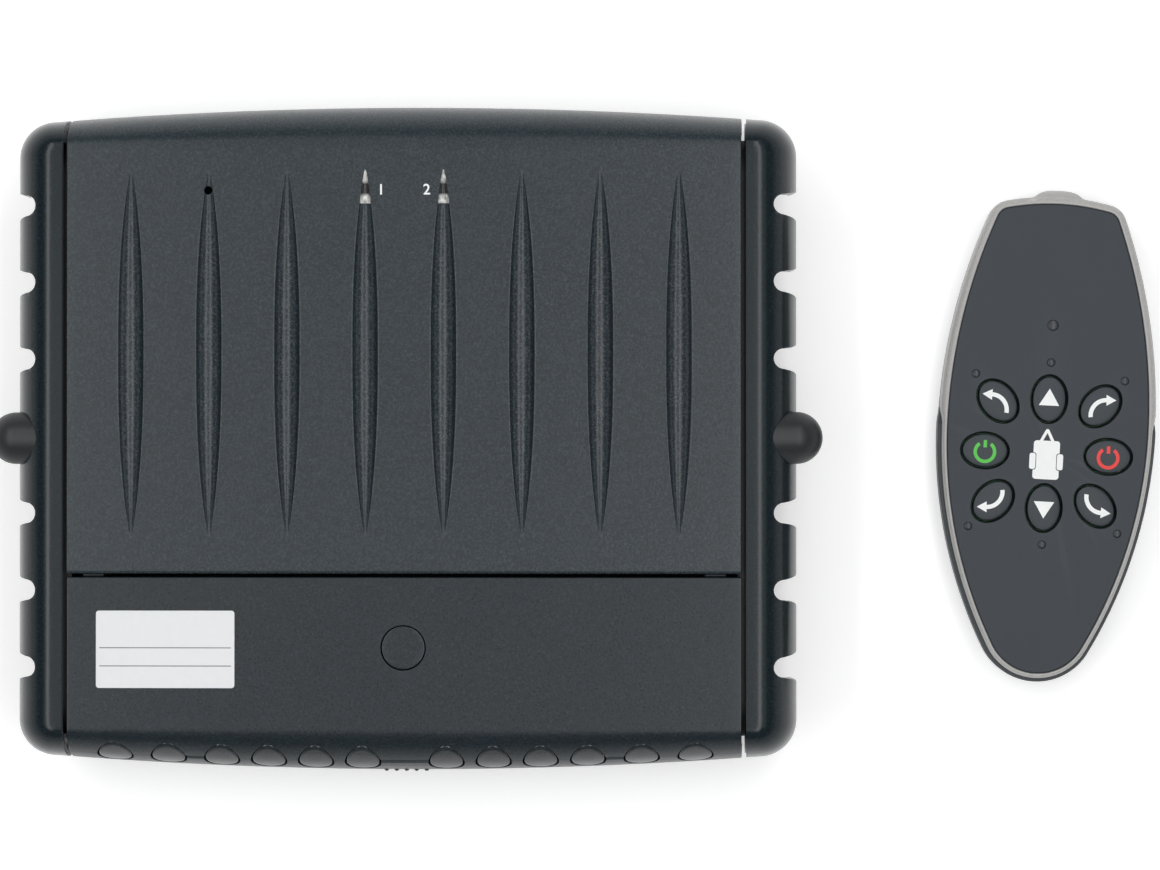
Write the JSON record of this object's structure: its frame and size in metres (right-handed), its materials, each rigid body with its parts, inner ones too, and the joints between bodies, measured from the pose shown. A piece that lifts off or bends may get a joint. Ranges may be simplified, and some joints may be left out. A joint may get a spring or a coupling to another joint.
{
  "type": "caravan mover control set",
  "caption": "Ribbed flat control unit with notched end caps, side studs and cable plugs, beside a radio handset with an oval-key pad; steers a caravan mover.",
  "frame": {"origin": "centre of the control unit's back, in its mounting surface", "axes": "+X across the unit towards the handset, +Y from the cable side to the lamp side, +Z out of the face"},
  "size_m": [0.3432, 0.1953, 0.0532],
  "materials": {
    "cover_plastic": "spark-eroded grain",
    "lid_plastic": "fine grain",
    "cap_plastic": "fine grain",
    "stud_plastic": "satin",
    "plug_rubber": "matte",
    "clear_guide": "clear",
    "reset_plastic": "gloss",
    "tray_plastic": "matte",
    "part_plastic": "matte",
    "lamp_plastic": "gloss",
    "board_laminate": "satin",
    "screw_steel": "zinc plated",
    "relay_plastic": "satin",
    "sink_aluminium": "extruded",
    "can_sleeve": "shrink sleeve",
    "terminal_plastic": "matte",
    "brass": "plain",
    "fuse_metal": "tin plated",
    "shell_plastic": "fine grain",
    "frame_plastic": "satin",
    "panel_plastic": "soft touch",
    "key_plastic": "soft touch",
    "mat_rubber": "matte",
    "contact_steel": "nickel plated",
    "cell_wrap": "printed foil, no words",
    "lens_plastic": "smoked"
  },
  "bodies": {
    "control_unit": {"base_tray": "tray_plastic", "main_cover": "cover_plastic", "cable_entry_wall": "lid_plastic", "cable_plugs": "plug_rubber", "light_guide_1": "clear_guide", "light_guide_2": "clear_guide", "reset_switch": "part_plastic", "status_leds": "lamp_plastic", "main_board": "board_laminate", "board_screws": "screw_steel", "relays": "relay_plastic", "heat_sink": "sink_aluminium", "power_transistors": "part_plastic", "capacitors": "can_sleeve", "terminal_block": "terminal_plastic", "terminal_screws": "brass", "fuse_holder": "part_plastic", "main_fuse": "fuse_metal", "receiver_module": "board_laminate", "aerial": "brass", "cover_screws": "screw_steel", "entry_wall_screws": "screw_steel"},
    "terminal_cover": {"terminal_cover": "lid_plastic", "blanking_plug": "lid_plastic"},
    "left_cap": {"left_end_cap": "cap_plastic", "left_side_stud": "stud_plastic"},
    "right_cap": {"right_end_cap": "cap_plastic", "right_side_stud": "stud_plastic"},
    "reset_button": {"reset_button": "reset_plastic"},
    "handset": {"handset_back_shell": "shell_plastic", "handset_frame": "frame_plastic", "handset_panel": "panel_plastic", "keypad_mat": "mat_rubber", "handset_board": "board_laminate", "dome_switches": "contact_steel", "battery_cells": "cell_wrap", "battery_contacts": "contact_steel", "indicator_lenses": "lens_plastic", "handset_screws": "screw_steel", "buzzer": "part_plastic"},
    "battery_door": {"battery_door": "shell_plastic"},
    "key_forward": {"key_forward": "key_plastic"},
    "key_back": {"key_back": "key_plastic"},
    "key_left_forward": {"key_left_forward": "key_plastic"},
    "key_right_forward": {"key_right_forward": "key_plastic"},
    "key_left_back": {"key_left_back": "key_plastic"},
    "key_right_back": {"key_right_back": "key_plastic"},
    "key_on": {"key_on": "key_plastic"},
    "key_off": {"key_off": "key_plastic"}
  },
  "joints": [
    {"name": "terminal_cover_tilt", "type": "hinge", "parent": "control_unit", "child": "terminal_cover", "pos_m": [0, -0.04, 0.0482], "axis": [-1, 0, 0], "range_deg": [0, 60]},
    {"name": "left_cap_pull", "type": "slide", "parent": "control_unit", "child": "left_cap", "axis": [-1, 0, 0], "range_m": [0, 0.025]},
    {"name": "right_cap_pull", "type": "slide", "parent": "control_unit", "child": "right_cap", "axis": [1, 0, 0], "range_m": [0, 0.025]},
    {"name": "reset_press", "type": "slide", "parent": "control_unit", "child": "reset_button", "axis": [0, 0, -1], "range_m": [0, 0.0008], "stiffness_N_per_m": 500},
    {"name": "handset_lift", "type": "slide", "parent": "control_unit", "child": "handset", "axis": [0, 0, 1], "range_m": [0, 0.06]},
    {"name": "battery_door_slide", "type": "slide", "parent": "handset", "child": "battery_door", "axis": [-0.0523, -0.9986, 0], "range_m": [0, 0.04]},
    {"name": "key_forward_press", "type": "slide", "parent": "handset", "child": "key_forward", "axis": [0, 0, -1], "range_m": [0, 0.001], "stiffness_N_per_m": 800},
    {"name": "key_back_press", "type": "slide", "parent": "handset", "child": "key_back", "axis": [0, 0, -1], "range_m": [0, 0.001], "stiffness_N_per_m": 800},
    {"name": "key_left_forward_press", "type": "slide", "parent": "handset", "child": "key_left_forward", "axis": [0, 0, -1], "range_m": [0, 0.001], "stiffness_N_per_m": 800},
    {"name": "key_right_forward_press", "type": "slide", "parent": "handset", "child": "key_right_forward", "axis": [0, 0, -1], "range_m": [0, 0.001], "stiffness_N_per_m": 800},
    {"name": "key_left_back_press", "type": "slide", "parent": "handset", "child": "key_left_back", "axis": [0, 0, -1], "range_m": [0, 0.001], "stiffness_N_per_m": 800},
    {"name": "key_right_back_press", "type": "slide", "parent": "handset", "child": "key_right_back", "axis": [0, 0, -1], "range_m": [0, 0.001], "stiffness_N_per_m": 800},
    {"name": "key_on_press", "type": "slide", "parent": "handset", "child": "key_on", "axis": [0, 0, -1], "range_m": [0, 0.001], "stiffness_N_per_m": 800},
    {"name": "key_off_press", "type": "slide", "parent": "handset", "child": "key_off", "axis": [0, 0, -1], "range_m": [0, 0.001], "stiffness_N_per_m": 800}
  ]
}
